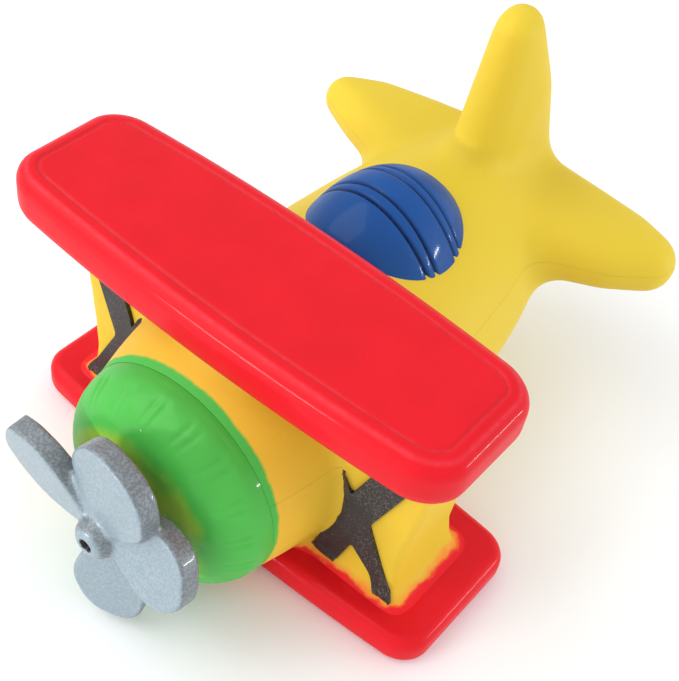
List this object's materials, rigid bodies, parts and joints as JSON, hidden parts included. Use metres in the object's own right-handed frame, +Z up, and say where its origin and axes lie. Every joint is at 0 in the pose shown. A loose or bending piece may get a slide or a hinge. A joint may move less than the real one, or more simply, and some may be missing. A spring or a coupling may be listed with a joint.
{
  "type": "toy airplane",
  "caption": "Chubby soft vinyl toy biplane with slab wings, filled strut blocks, domed canopy, rounded lobed tail and a free-spinning paddle-bladed propeller.",
  "frame": {"origin": "centre of the flat underside of the lower wing, where the toy stands", "axes": "+Y towards the tail, so the nose is at -Y; +X to the port side; +Z up"},
  "size_m": [0.086, 0.1156, 0.0731],
  "materials": {
    "yellow_vinyl": "soft satin vinyl",
    "green_vinyl": "glossy sprayed vinyl",
    "red_vinyl": "glossy sprayed vinyl",
    "blue_canopy": "high gloss",
    "propeller_paint": "metallic grey-blue paint, glossy",
    "black_brace": "speckled satin black",
    "steel_pin": "bright",
    "white_plastic": "natural moulded plastic"
  },
  "bodies": {
    "airframe": {"fuselage_upper_shell": "yellow_vinyl", "fuselage_lower_shell": "yellow_vinyl", "nose_bulkhead": "yellow_vinyl", "engine_cowling": "green_vinyl", "canopy": "blue_canopy", "upper_wing": "red_vinyl", "lower_wing": "red_vinyl", "strut_block_port": "yellow_vinyl", "strut_block_starboard": "yellow_vinyl", "cross_brace_port": "black_brace", "cross_brace_starboard": "black_brace", "upper_wing_dowels": "white_plastic", "lower_wing_dowels": "white_plastic", "axle_bush": "white_plastic", "squeaker_housing": "white_plastic", "squeaker_reed": "steel_pin", "squeaker_cap": "white_plastic"},
    "propeller": {"propeller": "propeller_paint", "propeller_axle": "steel_pin", "axle_retainer": "steel_pin"}
  },
  "joints": [
    {"name": "propeller_spin", "type": "hinge", "parent": "airframe", "child": "propeller", "pos_m": [0, -0.0377, 0.022], "axis": [0, -1, 0], "continuous": true}
  ]
}
